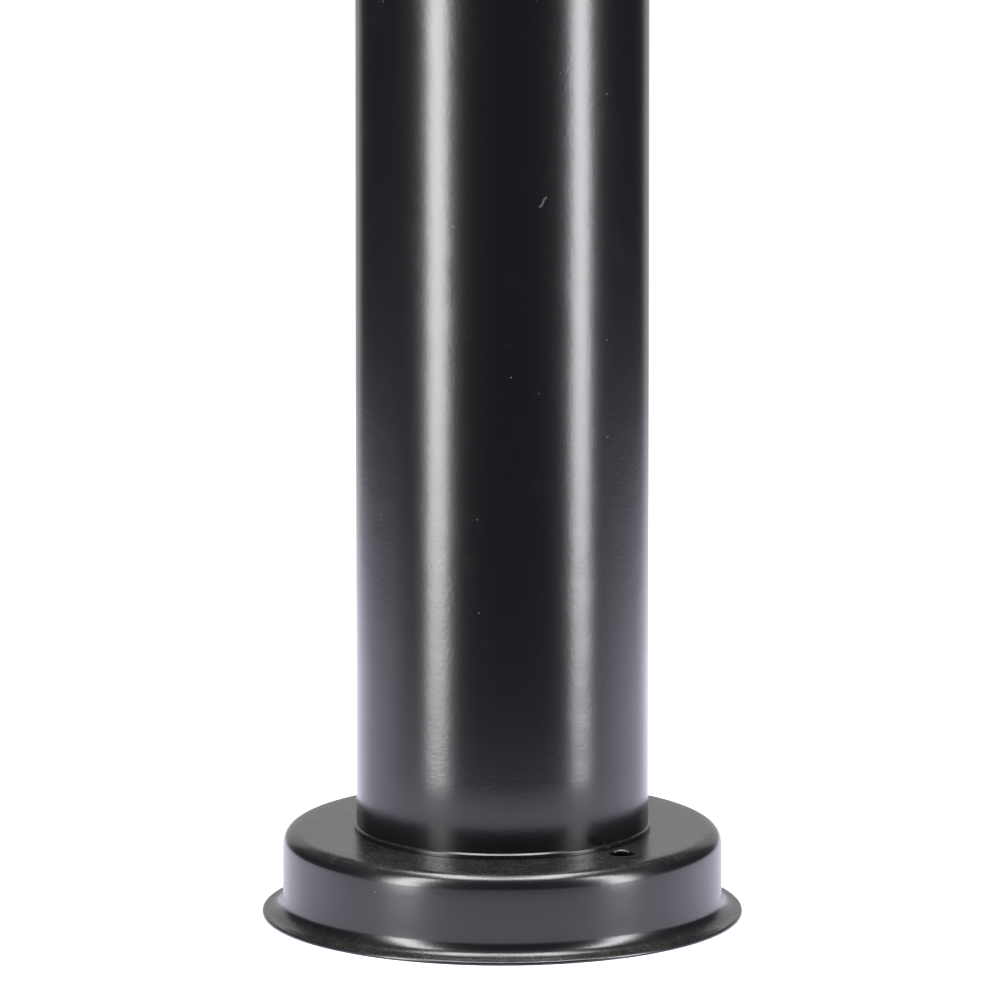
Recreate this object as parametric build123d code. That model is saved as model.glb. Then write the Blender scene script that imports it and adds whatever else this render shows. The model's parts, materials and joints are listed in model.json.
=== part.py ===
from build123d import *
from math import cos, pi, radians, sin
import os

# Garden oil torch: a steel column on a pressed base pan, with a spun bowl at its head.
# A fuel canister hangs in the column's top. Its screw-on burner holds the wick and a snuffer.
# Millimetres. +Z is up, the front is -Y, and the origin is on the ground under the column's axis.

# ---- Driving dimensions ----------------------------------------------------------------------
# Base pan, pressed from one sheet
pan_sheet = 1.0
pan_height = 22.6
pan_radius = 57.3
pan_rim_round = 4.0
pan_foot_round = 4.0
pan_drain_radius = 30.0
lip_radius = 62.7

# Screw holes in the pan's top, for fixing the torch to a deck
fixing_circle = 87.0
fixing_hole_radius = 3.4
fixing_count = 2
fixing_angle = -44.4

# Column
tube_radius = 38.1
tube_wall = 1.5
column_top = 522.0
bead_width = 0.5
bead_height = 1.5

# Seat ring inside the column's mouth, and the screws that hold the bowl to it
seat_height = 20.0
seat_inner_radius = 33.6
screw_radius = 2.0
screw_head_radius = 3.8
screw_head_height = 2.2
screw_count = 3
screw_drop = 11.0
screw_first_angle = 90.0
screw_socket_radius = 1.45
screw_socket_depth = 2.6

# Bowl
bowl_sheet = 1.2
bowl_fit_gap = 0.05
bowl_sleeve_depth = 19.0
bowl_rim_radius = 75.5
bowl_rise = 65.0
bowl_floor_reach = 17.0
bowl_floor_rise = 8.0
bowl_belly_radius = 71.5
bowl_belly_rise = 36.0
bowl_neck_round = 4.0
bowl_floor_round = 26.0
bowl_belly_round = 30.0
bowl_bead_radius = 2.2
bowl_drain_radius = 2.5
bowl_drain_count = 6
bowl_drain_circle = 102.0

# Fuel canister
canister_radius = 32.8
canister_wall = 0.6
canister_depth = 110.0
canister_corner = 5.0
lid_sheet = 0.8
lid_flange_radius = 37.4
lid_dome_radius = 30.3
lid_rise = 14.0
lid_slope_reach = 4.5
lid_foot_round = 2.2
lid_dome_round = 4.5
neck_radius = 20.5
neck_bore_radius = 18.8
neck_flange_radius = 23.8
neck_flange_height = 1.4
neck_below = 6.0
neck_above = 13.2
thread_height = 0.5
thread_width = 1.6
thread_flat = 0.4
thread_start = 2.2
thread_pitch = 3.0
thread_turns = 3
gasket_height = 1.5

# Burner
cap_radius = 24.0
cap_bore_radius = 21.4
cap_plate = 1.5
cap_skirt = 12.5
cap_flutes = 40
cap_flute_radius = 0.9
cap_flute_stop = 1.2
cap_edge_round = 0.9
wick_tube_radius = 7.9
wick_tube_wall = 0.9
wick_tube_above = 11.0
wick_tube_below = 64.0
wick_flange_radius = 10.5
wick_flange_height = 1.0
clip_radius = 11.5
clip_height = 0.8
clip_notch_depth = 1.6
clip_notches = 6
wick_radius = 6.5
wick_exposed = 7.0
wick_foot_gap = 3.0

# Snuffer and its hinge
bracket_sheet = 1.2
bracket_disc_radius = 14.8
hinge_back = 19.5
hinge_above = 6.2
pin_radius = 1.5
pin_clearance = 0.05
pin_head_radius = 2.4
pin_head_height = 1.1
eye_radius = 2.9
ear_radius = 3.3
arm_width = 8.0
arm_gap = 0.35
arm_sheet = 1.2
arm_reach = 6.0
arm_bend = 6.0
stop_gap = 0.3
stop_height = 4.2
snuffer_radius = 13.2
snuffer_sheet = 0.8
snuffer_bead_radius = 0.9
snuffer_height = 29.4
snuffer_round = 9.0
knob_height = 15.2
knob_radius = 6.2
knob_stem_radius = 3.2
knob_foot_radius = 4.8
knob_foot_height = 1.4
knob_screw_radius = 1.5
knob_screw_head_radius = 2.8
knob_screw_head = 1.6
knob_screw_length = 9.0

# ---- Heights worked out from them -------------------------------------------------------------
lid_top = column_top + lid_rise + lid_sheet
neck_top = lid_top + neck_above
cap_under = neck_top + gasket_height
cap_top = cap_under + cap_plate
plate_top = cap_top + bracket_sheet
wick_tube_top = plate_top + wick_tube_above
wick_top = wick_tube_top + wick_exposed
canister_bottom = column_top - canister_depth
wick_bottom = canister_bottom + canister_wall + wick_foot_gap
hinge_height = plate_top + hinge_above
snuffer_top = plate_top + snuffer_height
arm_top = snuffer_top + arm_sheet
bowl_rim_height = column_top + bowl_rise


# ---- Helpers ----------------------------------------------------------------------------------
def revolved(face):
    """Turns a radius-height outline, drawn in X and Y, about the column's axis."""
    return revolve(Plane.XZ * face, Axis.Z)


def turned(*outline):
    """A turned piece from the corners of its radius-height outline."""
    return revolved(make_face(Polyline(*outline, close=True)))


def ring(outer_radius, inner_radius, low, high):
    """A plain ring about the column's axis."""
    return turned((inner_radius, low), (outer_radius, low), (outer_radius, high), (inner_radius, high))


def spun_sheet(line, thickness, side):
    """A turned piece of sheet metal whose one face follows the line."""
    return revolved(make_face(offset(line, amount=thickness, side=side).edges()))


def upright(radius, low, high, x=0, y=0):
    """A vertical round bar or cutter."""
    return Pos(x, y, (low + high) / 2) * Cylinder(radius, high - low)


def block(x, y, z):
    """A box from its low and high limits along each axis."""
    size = [high - low for low, high in (x, y, z)]
    middle = [(high + low) / 2 for low, high in (x, y, z)]
    return Pos(*middle) * Box(*size)


def circle_places(circle, count, first_angle):
    """Evenly spaced X and Y places on a circle given by its diameter."""
    angles = [radians(first_angle + 360 * i / count) for i in range(count)]
    return [(circle / 2 * cos(a), circle / 2 * sin(a)) for a in angles]


def along_x(radius, low, high):
    """A round bar along X on the hinge's axis."""
    middle = (low + high) / 2
    return Pos(middle, hinge_back, hinge_height) * Rot(0, 90, 0) * Cylinder(radius, high - low)


# ---- Column and base --------------------------------------------------------------------------
def base_pan():
    line = FilletPolyline(
        (pan_drain_radius, pan_height),
        (pan_radius, pan_height),
        (pan_radius, pan_sheet),
        (lip_radius, pan_sheet),
        radius=[pan_rim_round, pan_foot_round],
    )
    pan = spun_sheet(line, pan_sheet, Side.RIGHT)
    for x, y in circle_places(fixing_circle, fixing_count, fixing_angle):
        pan -= upright(fixing_hole_radius, pan_height - 2 * pan_sheet, pan_height + 1, x, y)
    return pan


def foot_weld_bead():
    """A bead of weld round the column's foot, slightly crowned."""
    foot = (tube_radius + bead_width, pan_height)
    top = (tube_radius, pan_height + bead_height)
    crown = (tube_radius + 0.62 * bead_width, pan_height + 0.62 * bead_height)
    edges = [ThreePointArc(foot, crown, top), Line(top, (tube_radius, pan_height))]
    edges.append(Line((tube_radius, pan_height), foot))
    return revolved(make_face(edges))


def screw_places():
    """The turn about Z that brings each bowl screw from +X to its own side."""
    return [screw_first_angle + 360 * i / screw_count for i in range(screw_count)]


def screw_bar(radius, low, high):
    """A bar along X at the height of the bowl's screws."""
    place = Pos((low + high) / 2, 0, column_top - screw_drop)
    return place * Rot(0, 90, 0) * Cylinder(radius, high - low)


def drilled_for_screws(piece):
    for turn in screw_places():
        piece -= Rot(0, 0, turn) * screw_bar(screw_radius, seat_inner_radius - 2, tube_radius + 4)
    return piece


def column_tube():
    tube = ring(tube_radius, tube_radius - tube_wall, pan_height, column_top)
    return drilled_for_screws(tube)


def seat_ring():
    seat = ring(tube_radius - tube_wall, seat_inner_radius, column_top - seat_height, column_top)
    return drilled_for_screws(seat)


def head_bowl():
    inside = tube_radius + bowl_fit_gap
    line = FilletPolyline(
        (inside, column_top - bowl_sleeve_depth),
        (inside, column_top - 2),
        (inside + bowl_floor_reach, column_top + bowl_floor_rise),
        (bowl_belly_radius, column_top + bowl_belly_rise),
        (bowl_rim_radius - bowl_sheet, bowl_rim_height),
        radius=[bowl_neck_round, bowl_floor_round, bowl_belly_round],
    )
    bowl = spun_sheet(line, bowl_sheet, Side.RIGHT)
    rim = Pos(bowl_rim_radius - bowl_sheet / 2, bowl_rim_height) * Circle(bowl_bead_radius)
    bowl += revolved(rim.face())
    for x, y in circle_places(bowl_drain_circle, bowl_drain_count, 0):
        bowl -= upright(bowl_drain_radius, column_top - 2, column_top + 25, x, y)
    return drilled_for_screws(bowl)


def bowl_screws():
    """Button-head screws through the bowl's sleeve and the column into the seat ring."""
    face = tube_radius + bowl_fit_gap + bowl_sheet
    shank = screw_bar(screw_radius, seat_inner_radius + 0.2, face)
    head = screw_bar(screw_head_radius, face, face + screw_head_height)
    head = fillet(head.edges().group_by(Axis.X)[-1], screw_head_height * 0.75)
    socket = Pos(face + screw_head_height, 0, column_top - screw_drop) * Rot(0, 90, 0)
    head -= socket * extrude(RegularPolygon(screw_socket_radius, 6), amount=screw_socket_depth, both=True)
    return Compound(children=[Rot(0, 0, turn) * (shank + head) for turn in screw_places()])


# ---- Fuel canister ----------------------------------------------------------------------------
def canister_body():
    line = FilletPolyline(
        (canister_radius, column_top),
        (canister_radius, canister_bottom),
        (0, canister_bottom),
        radius=[canister_corner],
    )
    return spun_sheet(line, canister_wall, Side.RIGHT)


def canister_lid():
    line = FilletPolyline(
        (lid_flange_radius, column_top),
        (lid_dome_radius, column_top),
        (lid_dome_radius - lid_slope_reach, column_top + lid_rise),
        (neck_radius + 0.05, column_top + lid_rise),
        radius=[lid_foot_round, lid_dome_round],
    )
    return spun_sheet(line, lid_sheet, Side.RIGHT)


def canister_neck():
    neck = ring(neck_radius, neck_bore_radius, lid_top - neck_below, neck_top)
    neck += ring(neck_flange_radius, neck_radius - 0.5, lid_top, lid_top + neck_flange_height)
    for turn in range(thread_turns):
        low = lid_top + neck_flange_height + thread_start + turn * thread_pitch
        high = low + thread_width
        slope = (thread_width - thread_flat) / 2
        crest = neck_radius + thread_height
        neck += turned(
            (neck_radius - thread_height, low),
            (neck_radius, low),
            (crest, low + slope),
            (crest, high - slope),
            (neck_radius, high),
            (neck_radius - thread_height, high),
        )
    return neck


def neck_gasket():
    return ring(neck_radius + 0.3, neck_bore_radius - 0.3, neck_top, cap_under)


# ---- Burner -----------------------------------------------------------------------------------
def burner_cap():
    cap = ring(cap_radius, wick_tube_radius, cap_under - cap_skirt, cap_top)
    cap -= ring(cap_bore_radius, 0, cap_under - cap_skirt - 1, cap_under)
    top_edge = cap.edges().filter_by(GeomType.CIRCLE).sort_by(lambda e: e.radius + e.center().Z)[-1]
    cap = fillet(top_edge, cap_edge_round)
    flute = upright(cap_flute_radius, cap_under - cap_skirt - 1, cap_under - cap_flute_stop)
    reach = 2 * (cap_radius + cap_flute_radius * 0.55)
    flutes = [Pos(x, y, 0) * flute for x, y in circle_places(reach, cap_flutes, 0)]
    return cap - flutes


def wick_tube():
    """A sleeve with a flange that clamps the snuffer's bracket to the cap."""
    tube = ring(wick_tube_radius, wick_tube_radius - wick_tube_wall,
                cap_under - wick_tube_below, wick_tube_top)
    flange = ring(wick_flange_radius, wick_tube_radius - 0.4,
                  plate_top, plate_top + wick_flange_height)
    return tube + flange


def wick_tube_clip():
    """A push-on star washer under the cap: it grips the wick tube."""
    low = cap_under - clip_height
    clip = ring(clip_radius, wick_tube_radius, low, cap_under)
    notch_end = wick_tube_radius + clip_notch_depth
    notch = block((wick_tube_radius - 1, notch_end), (-0.5, 0.5), (low - 1, cap_under + 1))
    return clip - [Rot(0, 0, 360 * i / clip_notches) * notch for i in range(clip_notches)]


def wick():
    rope = upright(wick_radius, wick_bottom, wick_top)
    return fillet(rope.edges().filter_by(GeomType.CIRCLE), 1.0)


# ---- Snuffer ----------------------------------------------------------------------------------
def snuffer_bracket():
    """A stamped disc round the wick tube, with two ears and a stop folded up behind it."""
    ear_inside = arm_width / 2 + arm_gap
    ear_outside = ear_inside + bracket_sheet
    stop_front = hinge_back + eye_radius + stop_gap
    stop_back = stop_front + bracket_sheet
    plate = upright(bracket_disc_radius, cap_top, plate_top)
    plate += block((-ear_outside, ear_outside), (0, stop_back), (cap_top, plate_top))
    plate -= upright(wick_tube_radius, cap_top - 1, plate_top + 1)
    plate += block((-ear_inside + 1, ear_inside - 1), (stop_front, stop_back),
                   (plate_top, plate_top + stop_height))
    for side in (-1, 1):
        inner, outer = sorted((side * ear_inside, side * ear_outside))
        ear = block((inner, outer), (hinge_back - ear_radius, hinge_back + ear_radius),
                    (plate_top, hinge_height))
        ear += along_x(ear_radius, inner, outer)
        plate += ear
    return plate - along_x(pin_radius, -ear_outside - 1, ear_outside + 1)


def hinge_pin():
    """A rivet pin: its two heads keep it in the bracket's ears."""
    ear_outside = arm_width / 2 + arm_gap + bracket_sheet
    pin = along_x(pin_radius, -ear_outside, ear_outside)
    for side in (-1, 1):
        low, high = sorted((side * ear_outside, side * (ear_outside + pin_head_height)))
        head = along_x(pin_head_radius, low, high)
        outer_edge = head.edges().filter_by(GeomType.CIRCLE).sort_by(Axis.X)[-1 if side > 0 else 0]
        pin += fillet(outer_edge, 0.7)
    return pin


def snuffer_arm():
    """A bent strap with a rolled eye: it carries the snuffer over the wick."""
    middle = snuffer_top + arm_sheet / 2
    line = FilletPolyline(
        (hinge_back, hinge_height + eye_radius - arm_sheet),
        (hinge_back, middle),
        (-arm_reach, middle),
        radius=[arm_bend],
    )
    strap = make_face(offset(line, amount=arm_sheet / 2, side=Side.BOTH).edges())
    strap = extrude(Plane.YZ * strap, amount=arm_width / 2, both=True)
    strap += along_x(eye_radius, -arm_width / 2, arm_width / 2)
    strap -= along_x(pin_radius + pin_clearance, -arm_width, arm_width)
    nose = upright(knob_screw_radius, snuffer_top - 1, arm_top + 1)
    return strap - nose


def snuffer_cap():
    line = FilletPolyline(
        (snuffer_radius, plate_top),
        (snuffer_radius, snuffer_top),
        (knob_screw_radius, snuffer_top),
        radius=[snuffer_round],
    )
    cap = spun_sheet(line, snuffer_sheet, Side.LEFT)
    rim = Pos(snuffer_radius + 0.15, plate_top + snuffer_bead_radius + 0.1) * Circle(snuffer_bead_radius)
    return cap + revolved(rim.face())


def snuffer_knob():
    middle = arm_top + knob_height - knob_radius
    foot = upright(knob_foot_radius, arm_top, arm_top + knob_foot_height)
    foot = fillet(foot.edges().group_by(Axis.Z)[-1], 0.6)
    stem = upright(knob_stem_radius, arm_top, middle)
    knob = foot + stem + Pos(0, 0, middle) * Sphere(knob_radius)
    return knob - upright(knob_screw_radius, arm_top - 1, snuffer_top + knob_screw_length)


def knob_screw():
    """It comes up from inside the snuffer, through the arm, into the knob."""
    under = snuffer_top - snuffer_sheet
    screw = upright(knob_screw_radius, under, snuffer_top + knob_screw_length)
    head = upright(knob_screw_head_radius, under - knob_screw_head, under)
    head = fillet(head.edges().group_by(Axis.Z)[0], 0.8)
    slot = block((-4, 4), (-0.4, 0.4), (under - knob_screw_head - 1, under - knob_screw_head + 0.7))
    return screw + head - slot


PIECES = [
    base_pan, foot_weld_bead, column_tube, seat_ring, head_bowl, bowl_screws,
    canister_body, canister_lid, canister_neck, neck_gasket,
    burner_cap, wick_tube, wick_tube_clip, wick,
    snuffer_bracket, hinge_pin, snuffer_arm, snuffer_cap, snuffer_knob, knob_screw,
]

os.makedirs("parts", exist_ok=True)
for make in PIECES:
    export_step(make(), f"parts/{make.__name__}.step")
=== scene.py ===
import json
import math

import bmesh
import bpy
from mathutils import Matrix, Vector

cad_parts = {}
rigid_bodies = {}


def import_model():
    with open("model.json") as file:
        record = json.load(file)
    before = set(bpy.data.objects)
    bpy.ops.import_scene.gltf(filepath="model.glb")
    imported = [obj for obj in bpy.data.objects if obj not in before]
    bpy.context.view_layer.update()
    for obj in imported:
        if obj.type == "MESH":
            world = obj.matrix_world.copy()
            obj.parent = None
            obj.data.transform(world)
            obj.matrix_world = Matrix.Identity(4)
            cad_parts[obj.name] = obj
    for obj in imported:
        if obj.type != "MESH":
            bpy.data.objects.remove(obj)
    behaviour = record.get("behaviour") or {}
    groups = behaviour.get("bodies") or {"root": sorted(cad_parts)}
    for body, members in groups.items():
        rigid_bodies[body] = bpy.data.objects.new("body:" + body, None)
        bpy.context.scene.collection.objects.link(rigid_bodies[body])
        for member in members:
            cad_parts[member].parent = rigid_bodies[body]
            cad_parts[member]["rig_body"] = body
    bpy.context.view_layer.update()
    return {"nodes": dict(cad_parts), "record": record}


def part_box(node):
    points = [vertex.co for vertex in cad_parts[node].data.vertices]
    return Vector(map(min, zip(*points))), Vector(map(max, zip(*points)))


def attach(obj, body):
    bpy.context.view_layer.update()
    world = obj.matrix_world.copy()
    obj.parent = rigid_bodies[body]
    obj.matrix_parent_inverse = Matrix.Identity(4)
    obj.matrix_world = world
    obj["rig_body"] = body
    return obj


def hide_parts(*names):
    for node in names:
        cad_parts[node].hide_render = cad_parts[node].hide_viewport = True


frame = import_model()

MM = 0.001
NODES = frame["nodes"]

# ---- Sizes read from the frame ----------------------------------------------------------------
pan_low, pan_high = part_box("base_pan")
tube_low, tube_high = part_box("column_tube")
bead_low, bead_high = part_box("foot_weld_bead")
bowl_low, bowl_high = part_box("head_bowl")
wick_low, wick_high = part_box("wick")
neck_low, neck_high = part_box("canister_neck")
NECK_SLOT = next(p["material_slot"] for p in frame["record"]["subparts"] if p["node"] == "canister_neck")
deck_screws = next(m for m in frame["record"]["mounts"] if m["name"] == "deck_screws")
lip_radius = pan_high.x
pan_height = pan_high.z
tube_radius = tube_high.y
FIXING_ANGLE = -44.4  # degrees from +X to the front right screw hole, seen from above


# ---- Outlines ---------------------------------------------------------------------------------
def rounded(corners, radii, steps=8):
    """A radius-height line through the corners, each inner one rounded to its radius."""
    line = [Vector(corners[0])]
    for before, at, after, radius in zip(corners, corners[1:], corners[2:], radii):
        before, at, after = Vector(before), Vector(at), Vector(after)
        to_before, to_after = (before - at).normalized(), (after - at).normalized()
        half = to_before.angle(to_after) / 2
        reach = radius / math.tan(half)
        centre = at + (to_before + to_after).normalized() * (radius / math.sin(half))
        start, end = at + to_before * reach, at + to_after * reach
        first = math.atan2(start.y - centre.y, start.x - centre.x)
        turn = math.atan2(end.y - centre.y, end.x - centre.x) - first
        turn = (turn + math.pi) % (2 * math.pi) - math.pi
        for i in range(steps + 1):
            angle = first + turn * i / steps
            line.append(centre + radius * Vector((math.cos(angle), math.sin(angle))))
    line.append(Vector(corners[-1]))
    return line


def divided(line, longest):
    """The line with its long runs cut into equal shorter ones."""
    points = [line[0]]
    for start, end in zip(line, line[1:]):
        count = max(1, math.ceil((end - start).length / longest))
        points += [start.lerp(end, i / count) for i in range(1, count + 1)]
    return points


def beside(line, distance):
    """The line moved sideways, to its right for a positive distance."""
    moved = []
    for i, point in enumerate(line):
        along = (line[min(i + 1, len(line) - 1)] - line[max(i - 1, 0)]).normalized()
        moved.append(point + Vector((along.y, -along.x)) * distance)
    return moved


def sheet_outline(line, thickness, end_steps=6):
    """A closed outline of sheet metal with rounded ends. The metal lies to the line's right."""
    far = beside(line, thickness)
    outline = list(line)
    for near, across, way in ((line[-1], far[-1], -1), (far[0], line[0], -1)):
        middle, arm = (near + across) / 2, (near - across) / 2
        outward = Vector((-arm.y, arm.x)) * way
        for i in range(1, end_steps):
            angle = math.pi * i / end_steps
            outline.append(middle + arm * math.cos(angle) + outward * math.sin(angle))
        if near == line[-1]:
            outline += far[::-1]
    return outline


def circle_outline(radius, height, size, steps=20):
    """A closed ring section: a circle about one radius and height."""
    angles = [2 * math.pi * i / steps for i in range(steps)]
    return [Vector((radius + size * math.cos(a), height + size * math.sin(a))) for a in angles]


# ---- Meshes -----------------------------------------------------------------------------------
def add_object(name, bm, sharp_angle=40):
    """A new shown object from a bmesh, smooth except at its sharp edges."""
    bmesh.ops.recalc_face_normals(bm, faces=bm.faces)
    mesh = bpy.data.meshes.new(name)
    bm.to_mesh(mesh)
    bm.free()
    mesh.shade_smooth()
    mesh.set_sharp_from_angle(angle=math.radians(sharp_angle))
    piece = bpy.data.objects.new(name, mesh)
    bpy.context.scene.collection.objects.link(piece)
    return piece


def add_lathe(bm, outline, segments):
    """Turns a closed radius-height outline about Z into the bmesh."""
    rings = []
    for i in range(segments):
        angle = 2 * math.pi * i / segments
        cos, sin = math.cos(angle), math.sin(angle)
        rings.append([bm.verts.new((p.x * cos, p.x * sin, p.y)) for p in outline])
    for here, there in zip(rings, rings[1:] + rings[:1]):
        for i in range(len(outline)):
            j = (i + 1) % len(outline)
            bm.faces.new((here[i], there[i], there[j], here[j]))
    bmesh.ops.remove_doubles(bm, verts=bm.verts, dist=1e-7)
    bmesh.ops.dissolve_degenerate(bm, edges=bm.edges, dist=1e-8)


def lathe(name, outline, segments=256):
    """A new object turned about Z from a closed radius-height outline."""
    bm = bmesh.new()
    add_lathe(bm, outline, segments)
    return add_object(name, bm)


def cut(piece, cutter):
    """Takes the cutter's shape out of the piece, and removes the cutter."""
    tool = piece.modifiers.new("cut", "BOOLEAN")
    tool.operation, tool.object, tool.solver = "DIFFERENCE", cutter, "EXACT"
    shaped = piece.evaluated_get(bpy.context.evaluated_depsgraph_get())
    mesh = bpy.data.meshes.new_from_object(shaped)
    piece.modifiers.clear()
    piece.data = mesh
    bpy.data.objects.remove(cutter)


def stand_for(piece, node):
    """The piece replaces a CAD node, on that node's body."""
    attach(piece, NODES[node]["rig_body"])
    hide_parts(node)


def finish_with(piece, material):
    """The piece wears this material only."""
    piece.data.materials.clear()
    piece.data.materials.append(material)


# ---- Material building ------------------------------------------------------------------------
class Shader:
    """A short way to build a Principled material out of nodes, in metres of the object's frame."""

    COLOR_A, COLOR_B, COLOR_OUT = 6, 7, 2  # the colour sockets of Blender's Mix node

    def __init__(self, name):
        self.material = bpy.data.materials.new(name)
        self.material.use_nodes = True
        self.tree = self.material.node_tree
        self.surface = self.tree.nodes["Principled BSDF"]
        self.coordinates = self.node("ShaderNodeTexCoord")
        self.place = self.coordinates.outputs["Object"]

    def node(self, kind, inputs=None, **settings):
        made = self.tree.nodes.new(kind)
        for key, value in settings.items():
            setattr(made, key, value)
        for key, value in (inputs or {}).items():
            self.feed(made.inputs[key], value)
        return made

    def feed(self, socket, value):
        if isinstance(value, bpy.types.NodeSocket):
            self.tree.links.new(value, socket)
        else:
            socket.default_value = value

    def set(self, **values):
        for key, value in values.items():
            self.feed(self.surface.inputs[key.replace("_", " ")], value)

    def math(self, operation, first, second=0.0, clamp=False):
        made = self.node("ShaderNodeMath", operation=operation, use_clamp=clamp)
        self.feed(made.inputs[0], first)
        self.feed(made.inputs[1], second)
        return made.outputs[0]

    def noise(self, scale, detail=3.0, rough=0.5, place=None):
        inputs = {"Vector": place or self.place, "Scale": scale, "Detail": detail, "Roughness": rough}
        return self.node("ShaderNodeTexNoise", inputs).outputs[0]

    def spread(self, value, low, high, to_low=0.0, to_high=1.0):
        """Carries a value from one range to another, and keeps it inside."""
        inputs = {"Value": value, 1: low, 2: high, 3: to_low, 4: to_high}
        return self.node("ShaderNodeMapRange", inputs).outputs[0]

    def mix(self, share, first, second):
        made = self.node("ShaderNodeMix", data_type="RGBA")
        self.feed(made.inputs["Factor"], share)
        self.feed(made.inputs[self.COLOR_A], first)
        self.feed(made.inputs[self.COLOR_B], second)
        return made.outputs[self.COLOR_OUT]

    def scaled(self, x=1.0, y=1.0, z=1.0, offset=(0, 0, 0), turn=(0, 0, 0)):
        inputs = {"Vector": self.place, "Location": offset, "Rotation": turn, "Scale": (x, y, z)}
        return self.node("ShaderNodeMapping", inputs).outputs[0]

    def turned_place(self):
        """Coordinates of distance from the axis and height only, for marks that run round it."""
        apart = self.node("ShaderNodeSeparateXYZ", {"Vector": self.place})
        x, y, z = apart.outputs
        radius = self.math("SQRT", self.math("ADD", self.math("MULTIPLY", x, x), self.math("MULTIPLY", y, y)))
        return self.node("ShaderNodeCombineXYZ", {"X": radius, "Y": 0.0, "Z": z}).outputs[0]

    def bump(self, height, strength, distance, under=None):
        inputs = {"Height": height, "Strength": strength, "Distance": distance}
        made = self.node("ShaderNodeBump", inputs)
        if under is not None:
            self.feed(made.inputs["Normal"], under)
        return made.outputs[0]


def grey(value, cool=0.0):
    """A grey, or a bluish grey when cool is above 0."""
    return (value * (1 - cool), value * (1 - cool * 0.5), value * (1 + cool), 1.0)


def specks(s, scale, share, radius):
    """Scattered small round marks: one in some of the cells of a cell pattern."""
    cells = s.node("ShaderNodeTexVoronoi", {"Vector": s.place, "Scale": scale, "Randomness": 1.0})
    lot = s.node("ShaderNodeSeparateColor", {"Color": cells.outputs["Color"]}).outputs[0]
    near = s.spread(cells.outputs["Distance"], 0.6 * radius * scale, radius * scale, 1.0, 0.0)
    return s.math("MULTIPLY", near, s.math("LESS_THAN", lot, share))


def fibre_mark(s, x, z, length, lean, width):
    """One short wavy mark on the front, in the plane across the object."""
    waves, wave_height = 2600.0, 0.25 * width
    moved = s.scaled(offset=(-x, 0, -z))
    spun = s.node("ShaderNodeVectorRotate", {"Vector": moved, "Axis": (0, 1, 0), "Angle": lean})
    across, depth, along = s.node("ShaderNodeSeparateXYZ", {"Vector": spun.outputs[0]}).outputs
    wave = s.math("MULTIPLY", s.math("SINE", s.math("MULTIPLY", along, waves)), wave_height)
    thin = s.spread(s.math("ABSOLUTE", s.math("ADD", across, wave)), 0.3 * width, width, 1.0, 0.0)
    inside = s.spread(s.math("ABSOLUTE", along), 0.4 * length, 0.5 * length, 1.0, 0.0)
    front = s.math("LESS_THAN", depth, 0.0)
    return s.math("MULTIPLY", s.math("MULTIPLY", thin, inside), front)


def black_coat():
    """Satin black powder coat: fine orange peel, a few specks and scuffs, and dust on what faces up."""
    s = Shader("black_powder_coat")
    normal = s.bump(s.noise(scale=90.0, detail=1.0), strength=0.05, distance=1.2 * MM)
    normal = s.bump(s.noise(scale=1100.0, detail=2.0), strength=0.09, distance=0.22 * MM, under=normal)

    # Dust settles in patches where the surface faces up, with paler grains in it.
    facing = s.node("ShaderNodeSeparateXYZ", {"Vector": s.coordinates.outputs["Normal"]}).outputs["Z"]
    patches = s.spread(s.noise(260.0, 8.0, 0.85), 0.42, 0.60)
    settled = s.math("MULTIPLY", s.spread(facing, 0.45, 0.98), s.spread(patches, 0.0, 1.0, 0.25, 1.0))
    grain = s.math("MULTIPLY", s.spread(s.noise(1300.0, 3.0, 0.7), 0.54, 0.68), settled)

    # Pale specks of two sizes, and one curled fibre on the front.
    large_specks = specks(s, scale=150.0, share=0.5, radius=0.24 * MM)
    small_specks = s.math("MULTIPLY", specks(s, scale=420.0, share=0.5, radius=0.12 * MM), 0.5)
    marks = s.math("MAXIMUM", large_specks, small_specks)
    fibre = fibre_mark(s, x=10.5 * MM, z=196.2 * MM, length=3.6 * MM, lean=-0.55, width=0.42 * MM)
    marks = s.math("MAXIMUM", marks, s.math("MULTIPLY", fibre, 0.5))

    scuff = s.spread(s.noise(55.0, 6.0, 0.7), 0.58, 0.78)
    base = s.mix(scuff, grey(0.0036, 0.12), grey(0.0056, 0.05))
    base = s.mix(settled, base, (0.019, 0.017, 0.015, 1.0))
    base = s.mix(grain, base, (0.038, 0.033, 0.029, 1.0))
    rough = s.math("ADD", s.spread(scuff, 0.0, 1.0, 0.235, 0.275), s.math("MULTIPLY", grain, 0.12))
    s.set(Base_Color=s.mix(marks, base, grey(0.085)), Normal=normal, IOR=1.5,
          Roughness=s.math("ADD", rough, s.math("MULTIPLY", marks, 0.3)))
    return s.material


def spun_metal(name, color, dark, roughness, ring_scale, ring_strength):
    """Bare metal with the fine rings that turning or spinning leaves, and a little tarnish."""
    s = Shader(name)
    rings = s.noise(ring_scale, 2.0, 0.5, s.turned_place())
    cloud = s.spread(s.noise(70.0, 5.0, 0.6), 0.35, 0.75)
    normal = s.bump(rings, ring_strength, distance=0.12 * MM)
    s.set(Base_Color=s.mix(cloud, color, dark), Metallic=1.0, Normal=normal,
          Roughness=s.math("ADD", s.spread(rings, 0.3, 0.7, roughness - 0.05, roughness + 0.06),
                           s.math("MULTIPLY", cloud, 0.08)))
    return s.material


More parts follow.
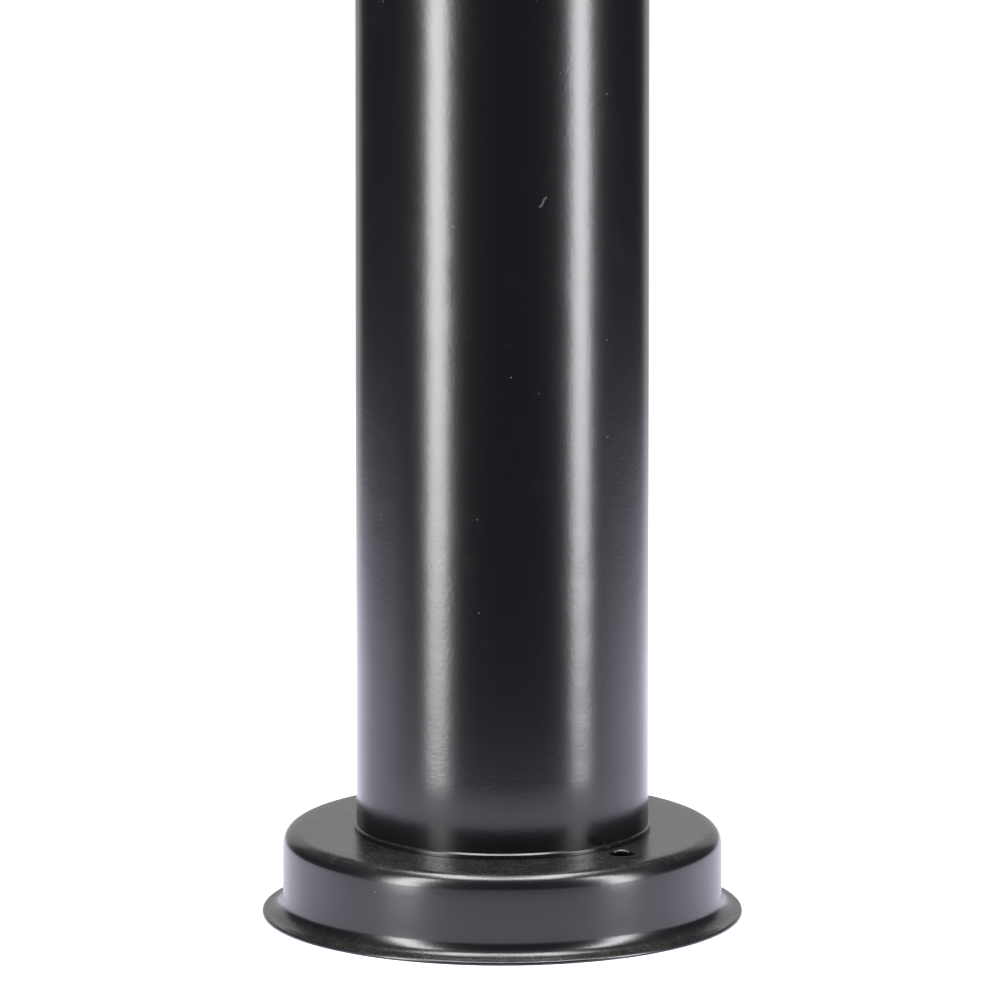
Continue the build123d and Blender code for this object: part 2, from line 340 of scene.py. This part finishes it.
def zinc_plate():
    """Dull bright plating with a faint flake."""
    s = Shader("zinc_plate")
    flakes = s.node("ShaderNodeTexVoronoi", {"Vector": s.place, "Scale": 400.0}).outputs["Color"]
    tone = s.node("ShaderNodeSeparateColor", {"Color": flakes}).outputs[0]
    s.set(Base_Color=s.mix(tone, grey(0.42), grey(0.55)), Metallic=1.0,
          Roughness=s.spread(tone, 0.0, 1.0, 0.38, 0.5), Normal=s.bump(s.noise(900.0), 0.08, 0.1 * MM))
    return s.material


def black_oxide():
    """The dark finish of the small screws."""
    s = Shader("black_oxide")
    cloud = s.noise(600.0, 3.0)
    s.set(Base_Color=s.mix(cloud, grey(0.012), grey(0.03)), Roughness=s.spread(cloud, 0.3, 0.7, 0.3, 0.42),
          Metallic=0.6, Normal=s.bump(s.noise(2500.0), 0.06, 0.1 * MM))
    return s.material


def gasket_rubber():
    """Matt black rubber."""
    s = Shader("gasket_rubber")
    cloud = s.noise(400.0, 3.0)
    s.set(Base_Color=s.mix(cloud, grey(0.014), grey(0.028)), Roughness=s.spread(cloud, 0.3, 0.7, 0.62, 0.75),
          Normal=s.bump(s.noise(3000.0), 0.2, 0.1 * MM))
    return s.material


def wick_fibre():
    """Glass fibre yarn, charred at the tip."""
    s = Shader("wick_fibre")
    height = s.node("ShaderNodeSeparateXYZ", {"Vector": s.place}).outputs["Z"]
    ragged = s.math("ADD", height, s.spread(s.noise(900.0, 3.0), 0.3, 0.7, -1.2 * MM, 1.2 * MM))
    char = s.spread(ragged, wick_high.z - 4.2 * MM, wick_high.z - 0.8 * MM)
    yarn = s.noise(2600.0, 2.0, 0.6, s.scaled(1.0, 1.0, 0.35))
    clean = s.mix(yarn, (0.50, 0.46, 0.38, 1.0), (0.68, 0.65, 0.57, 1.0))
    s.set(Base_Color=s.mix(char, clean, (0.022, 0.018, 0.015, 1.0)), Roughness=0.85,
          Normal=s.bump(yarn, 0.5, 0.3 * MM), Sheen_Weight=0.25)
    return s.material


# ---- Pieces -----------------------------------------------------------------------------------
def screw_hole_cutter(radius):
    """A drill for a screw hole, with a slightly eased mouth at height 0."""
    below, above = -4.0 * MM, 0.15 * MM
    ease_from, ease = -0.35 * MM, 0.5 * MM
    corner, soft_corner = 0.01 * MM, 0.3 * MM
    outline = rounded(
        [(0, below), (radius, below), (radius, ease_from), (radius + ease, above), (0, above)],
        [corner, soft_corner, corner])
    return lathe("hole_cutter", outline, 48)


def base_pan(material):
    """The pressed pan in one turned outline: rounded rim, straight side, a cove and a flat lip."""
    drain, side, sheet = 30.0 * MM, 57.3 * MM, 1.0 * MM
    edge, rim, cove = 0.3, 4.0, 4.0
    lip_top_edge, lip_low_edge = 0.6, 0.3
    inner_cove, inner_rim = 4.9, 3.0
    under, middle = pan_height - sheet, pan_height - sheet / 2
    corners = [
        (drain, middle), (drain, pan_height), (side, pan_height), (side, sheet), (lip_radius, sheet),
        (lip_radius, 0), (side - sheet, 0), (side - sheet, under), (drain, under), (drain, middle),
    ]
    radii = [edge, rim, cove, lip_top_edge, lip_low_edge, inner_cove, inner_rim, edge]
    line = rounded(corners, [radius * MM for radius in radii], 10)
    pan = lathe("base_pan_pressed", divided(line[:-1], 3 * MM), 288)
    circle = deck_screws["dims"]["pcd_mm"] * MM / 2
    for turn in (0, 180):
        angle = math.radians(FIXING_ANGLE + turn)
        cutter = screw_hole_cutter(deck_screws["dims"]["hole_r_mm"] * MM)
        cutter.location = (circle * math.cos(angle), circle * math.sin(angle), pan_height)
        bpy.context.view_layer.update()
        cut(pan, cutter)
    pan.data.shade_smooth()
    pan.data.set_sharp_from_angle(angle=math.radians(30))
    finish_with(pan, material)
    stand_for(pan, "base_pan")


def foot_bead(material):
    """The bead between the column and the pan: a low upright face under a sloping top."""
    width, height = bead_high.x - tube_radius, bead_high.z - bead_low.z
    overlap, shoulder_share = 0.2 * MM, 0.72
    inside, outside = tube_radius - overlap, tube_radius + width
    shoulder = bead_low.z + shoulder_share * height
    outline = rounded(
        [(inside, bead_low.z), (outside, bead_low.z), (outside, shoulder),
         (tube_radius, bead_high.z), (inside, bead_high.z)],
        [0.1 * MM, 0.4 * width, 0.05 * MM])
    bead = lathe("foot_weld_bead_fillet", outline, 288)
    finish_with(bead, material)
    stand_for(bead, "foot_weld_bead")


def column(material):
    """The drawn steel tube."""
    wall = 1.5 * MM
    line = [Vector((tube_radius, tube_low.z)), Vector((tube_radius, tube_high.z))]
    outline = sheet_outline(divided(line, 20 * MM)[::-1], wall, 4)
    tube = lathe("column_tube_drawn", outline, 288)
    finish_with(tube, material)
    stand_for(tube, "column_tube")


def head_bowl(material):
    """The spun bowl: a sleeve over the column, a swept floor, and an edge rolled over a wire."""
    sheet, rim_wire = 1.2 * MM, 2.2 * MM
    sleeve, foot = tube_radius + 0.05 * MM, bowl_low.z
    top, rim = tube_high.z, bowl_high.z - rim_wire
    edge = bowl_high.x - 1.6 * MM
    line = rounded(
        [(sleeve, foot), (sleeve, top - 2 * MM), (sleeve + 17 * MM, top + 8 * MM),
         (edge - 4 * MM, top + 36 * MM), (edge - sheet, rim)],
        [4 * MM, 26 * MM, 30 * MM], 12)
    bowl = lathe("head_bowl_spun", sheet_outline(divided(line, 4 * MM), sheet), 288)

    drains, drain_circle, drain_radius = 6, 51 * MM, 2.5 * MM
    drill_foot, drill_top, drill_corner = -3 * MM, 28 * MM, 0.01 * MM
    for i in range(drains):
        angle = 2 * math.pi * i / drains
        drill = lathe("drain_cutter", rounded(
            [(0, drill_foot), (drain_radius, drill_foot), (drain_radius, drill_top), (0, drill_top)],
            [drill_corner, drill_corner]), 32)
        drill.location = (drain_circle * math.cos(angle), drain_circle * math.sin(angle), top - 2 * MM)
        bpy.context.view_layer.update()
        cut(bowl, drill)

    bm = bmesh.new()
    bm.from_mesh(bowl.data)
    add_lathe(bm, circle_outline(bowl_high.x - rim_wire, rim, rim_wire, 28), 288)
    bpy.data.objects.remove(bowl)
    bowl = add_object("head_bowl_spun", bm, 35)
    finish_with(bowl, material)
    stand_for(bowl, "head_bowl")


def add_helical_thread(bm, root, start, pitch, depth, turns):
    """A helical thread about Z on a root radius, which runs out gently at both ends."""
    around, run_out = 96, 24
    foot, foot_half, crest_half = -0.3 * MM, 0.8 * MM, 0.25 * MM
    last = int(turns * around)
    rings = []
    for i in range(last + 1):
        angle = 2 * math.pi * i / around
        share = min(1.0, i / run_out, (last - i) / run_out)
        z, out = start + pitch * i / around, depth * share
        section = [(foot, -foot_half), (out, -crest_half), (out, crest_half), (foot, foot_half)]
        rings.append([bm.verts.new(((root + r) * math.cos(angle), (root + r) * math.sin(angle), z + h))
                      for r, h in section])
    for here, there in zip(rings, rings[1:]):
        for k in range(4):
            m = (k + 1) % 4
            bm.faces.new((here[k], there[k], there[m], here[m]))
    bm.faces.new(rings[0])
    bm.faces.new(rings[-1][::-1])


def threaded_neck(material):
    """The canister's neck with a true helical thread, a flange and a rounded mouth."""
    low, high = neck_low.z, neck_high.z
    crest, bore, pitch, depth = 21.0 * MM, 18.8 * MM, 3.0 * MM, 0.5 * MM
    root = crest - depth
    flange_low = tube_high.z + 14.8 * MM
    flange_high = flange_low + 1.4 * MM
    foot_middle, flange = root - 0.6 * MM, neck_high.x
    foot_edge, flange_root, flange_edge, thread_foot, mouth, bore_foot = 0.1, 0.1, 0.3, 0.2, 0.5, 0.2
    radii = [foot_edge, flange_root, flange_edge, flange_edge, thread_foot, mouth, mouth, bore_foot]
    outline = rounded(
        [(foot_middle, low), (root, low), (root, flange_low), (flange, flange_low), (flange, flange_high),
         (root, flange_high), (root, high), (bore, high), (bore, low), (foot_middle, low)],
        [radius * MM for radius in radii], 4)
    neck = lathe("canister_neck_threaded", outline[:-1], 160)
    bm = bmesh.new()
    bm.from_mesh(neck.data)
    bpy.data.objects.remove(neck)
    thread_start = flange_high + 1.6 * MM
    add_helical_thread(bm, root, thread_start, pitch, depth, turns=2.9)
    neck = add_object("canister_neck_threaded", bm)
    finish_with(neck, material)
    stand_for(neck, "canister_neck")


def add_yarn(bm, path, half_width, half_thickness, sides=6):
    """A flat yarn along a path of (centre, outward, along) steps, closed at both ends."""
    rings = []
    for centre, out, along in path:
        side = along.cross(out)
        ring = []
        for k in range(sides):
            a = 2 * math.pi * k / sides
            ring.append(bm.verts.new(
                centre + side * math.cos(a) * half_width + out * math.sin(a) * half_thickness))
        rings.append(ring)
    for here, there in zip(rings, rings[1:]):
        for k in range(sides):
            m = (k + 1) % sides
            bm.faces.new((here[k], here[m], there[m], there[k]))
    bm.faces.new(rings[0][::-1])
    bm.faces.new(rings[-1])


def braided_wick(material):
    """Two sets of yarns that cross over and under each other round a soft core."""
    low, high = wick_low.z, wick_high.z
    middle_radius, yarn_radius, over_under = 5.55 * MM, 0.85 * MM, 0.32 * MM
    strands, pitch, step = 10, 26 * MM, 0.9 * MM
    bm = bmesh.new()
    count = int((high - low - 2 * yarn_radius) / step)
    for way in (-1, 1):
        for strand in range(strands):
            start = 2 * math.pi * strand / strands
            path = []
            for i in range(count + 1):
                z = low + yarn_radius + i * step
                angle = start + way * 2 * math.pi * (z - low) / pitch
                phase = (0 if way > 0 else math.pi) + strand * math.pi
                lift = over_under * math.cos(strands * (z - low) / pitch * 2 * math.pi + phase)
                radius = middle_radius + lift
                slope = way * 2 * math.pi * radius / pitch
                centre = Vector((radius * math.cos(angle), radius * math.sin(angle), z))
                out = Vector((math.cos(angle), math.sin(angle), 0))
                along = Vector((-math.sin(angle) * slope, math.cos(angle) * slope, 1)).normalized()
                path.append((centre, out, along))
            add_yarn(bm, path, yarn_radius * 1.5, yarn_radius * 0.8)
    core_radius, core_foot, core_shoulder = 5.2 * MM, low + 0.4 * MM, high - 0.5 * MM
    core = rounded([(0, core_foot), (core_radius, core_foot), (core_radius, core_shoulder), (0, high)],
                   [0.8 * MM, 1.6 * MM])
    add_lathe(bm, divided(core, 5 * MM), 32)
    wick = add_object("wick_braided", bm)
    finish_with(wick, material)
    stand_for(wick, "wick")


# ---- Stage ------------------------------------------------------------------------------------
def area_light(name, place, aim, width, height, power, color=(1, 1, 1)):
    """A soft panel that the camera itself doesn't see."""
    data = bpy.data.lights.new(name, "AREA")
    data.shape, data.size, data.size_y = "RECTANGLE", width, height
    data.energy, data.color = power, color
    light = bpy.data.objects.new(name, data)
    bpy.context.scene.collection.objects.link(light)
    light.location = place
    facing = (Vector(aim) - Vector(place)).normalized()
    light.rotation_euler = facing.to_track_quat("-Z", "Y").to_euler()
    light.visible_camera = False
    return light


def panel(name, azimuth, distance, low, high, width, radiance, color=(1, 1, 1)):
    """An upright panel round the object. Azimuth 0 is in front, and 90 is to the right."""
    angle = math.radians(azimuth)
    middle = (low + high) / 2
    place = (distance * math.sin(angle), -distance * math.cos(angle), middle)
    power = radiance * math.pi * width * (high - low)
    return area_light(name, place, (0, 0, middle), width, high - low, power, color)


def floor():
    """A pale sheet under the object. It fades out all round, sooner in front than behind."""
    half_size, shift_back = 0.9, 0.5
    bm = bmesh.new()
    bmesh.ops.create_grid(bm, x_segments=8, y_segments=8, size=1.0)
    bmesh.ops.transform(bm, verts=bm.verts, matrix=Matrix.Diagonal((half_size, half_size, 1, 1)))
    bmesh.ops.translate(bm, verts=bm.verts, vec=(0, shift_back, 0))
    sheet = add_object("floor", bm)
    s = Shader("pale_floor")
    tone = s.mix(s.noise(6.0), (0.64, 0.63, 0.73, 1.0), (0.67, 0.66, 0.76, 1.0))
    s.set(Base_Color=tone, Roughness=0.75)

    # Distances in metres from the object's axis at which the sheet starts and ends its fade.
    reach = s.node("ShaderNodeVectorMath", {0: s.scaled(1.0, 1.0, 0.0)}, operation="LENGTH").outputs["Value"]
    front_fade = s.spread(reach, 0.10, 0.25, 1.0, 0.0)
    back_fade = s.spread(reach, 0.30, 0.70, 1.0, 0.0)
    depth = s.node("ShaderNodeSeparateXYZ", {"Vector": s.place}).outputs["Y"]
    behind = s.spread(depth, -0.18, 0.02)
    s.set(Alpha=s.math("ADD", s.math("MULTIPLY", back_fade, behind),
                       s.math("MULTIPLY", front_fade, s.math("SUBTRACT", 1.0, behind))))
    finish_with(sheet, s.material)


def world():
    """White behind the object for the camera, a dim studio for light and reflections."""
    made = bpy.data.worlds.new("studio")
    bpy.context.scene.world = made
    made.use_nodes = True
    tree = made.node_tree
    tree.nodes.clear()
    out = tree.nodes.new("ShaderNodeOutputWorld")
    pick = tree.nodes.new("ShaderNodeMixShader")
    seen = tree.nodes.new("ShaderNodeLightPath")
    dim = tree.nodes.new("ShaderNodeBackground")
    white = tree.nodes.new("ShaderNodeBackground")
    dim.inputs["Color"].default_value = (0.92, 0.88, 1.1, 1.0)
    dim.inputs["Strength"].default_value = 0.05
    white.inputs["Color"].default_value = (1.0, 1.0, 1.0, 1.0)
    white.inputs["Strength"].default_value = 1.0
    tree.links.new(seen.outputs["Is Camera Ray"], pick.inputs["Fac"])
    tree.links.new(dim.outputs[0], pick.inputs[1])
    tree.links.new(white.outputs[0], pick.inputs[2])
    tree.links.new(pick.outputs[0], out.inputs[0])


def camera():
    """A long lens that looks down a little on the foot."""
    elevation = math.radians(12.0)
    distance, aim = 5.729, Vector((-0.0006, 0, 0.1099))
    data = bpy.data.cameras.new("camera")
    data.sensor_width, data.lens = 36.0, 792.0
    data.clip_start, data.clip_end = 0.1, 100.0
    seat = bpy.data.objects.new("camera", data)
    bpy.context.scene.collection.objects.link(seat)
    back = Vector((0, -math.cos(elevation), math.sin(elevation)))
    seat.location = aim + back * distance
    seat.rotation_euler = (-back).to_track_quat("-Z", "Y").to_euler()
    bpy.context.scene.camera = seat


def lights():
    """Two tall strips at the front, a dim wall behind and a soft panel overhead."""
    panel("strip_left", azimuth=-51.5, distance=1.2, low=-0.205, high=1.5, width=0.34, radiance=21.0)
    panel("strip_right", azimuth=63.5, distance=1.2, low=-0.20, high=1.5, width=0.32, radiance=20.0,
          color=(0.96, 0.98, 1.0))
    panel("back_wall", azimuth=180, distance=1.3, low=-0.30, high=0.75, width=1.7, radiance=0.66,
          color=(1.0, 0.98, 0.99))
    area_light("overhead", place=(0, 0.1, 2.2), aim=(0, 0, 0), width=1.5, height=1.4, power=118.0,
               color=(0.99, 0.98, 1.02))


# ---- The scene --------------------------------------------------------------------------------
camera()
world()
floor()
lights()
bpy.context.scene.view_settings.view_transform = "Standard"

coat = black_coat()
steel = spun_metal("stainless_spun", color=(0.60, 0.585, 0.56, 1.0), dark=(0.50, 0.48, 0.455, 1.0),
                   roughness=0.27, ring_scale=1300.0, ring_strength=0.12)
brass = spun_metal("brass_turned", color=(0.74, 0.53, 0.25, 1.0), dark=(0.56, 0.38, 0.17, 1.0),
                   roughness=0.26, ring_scale=1500.0, ring_strength=0.07)
FINISHES = {
    "black_coat": coat,
    "plain_steel": zinc_plate(),
    "black_screws": black_oxide(),
    "stainless": steel,
    "brass": brass,
    "gasket_rubber": gasket_rubber(),
    "wick_fibre": wick_fibre(),
}
for part in frame["record"]["subparts"]:
    finish_with(NODES[part["node"]], FINISHES[part["material_slot"]])

base_pan(coat)
foot_bead(coat)
column(coat)
head_bowl(coat)
threaded_neck(FINISHES[NECK_SLOT])
braided_wick(FINISHES["wick_fibre"])
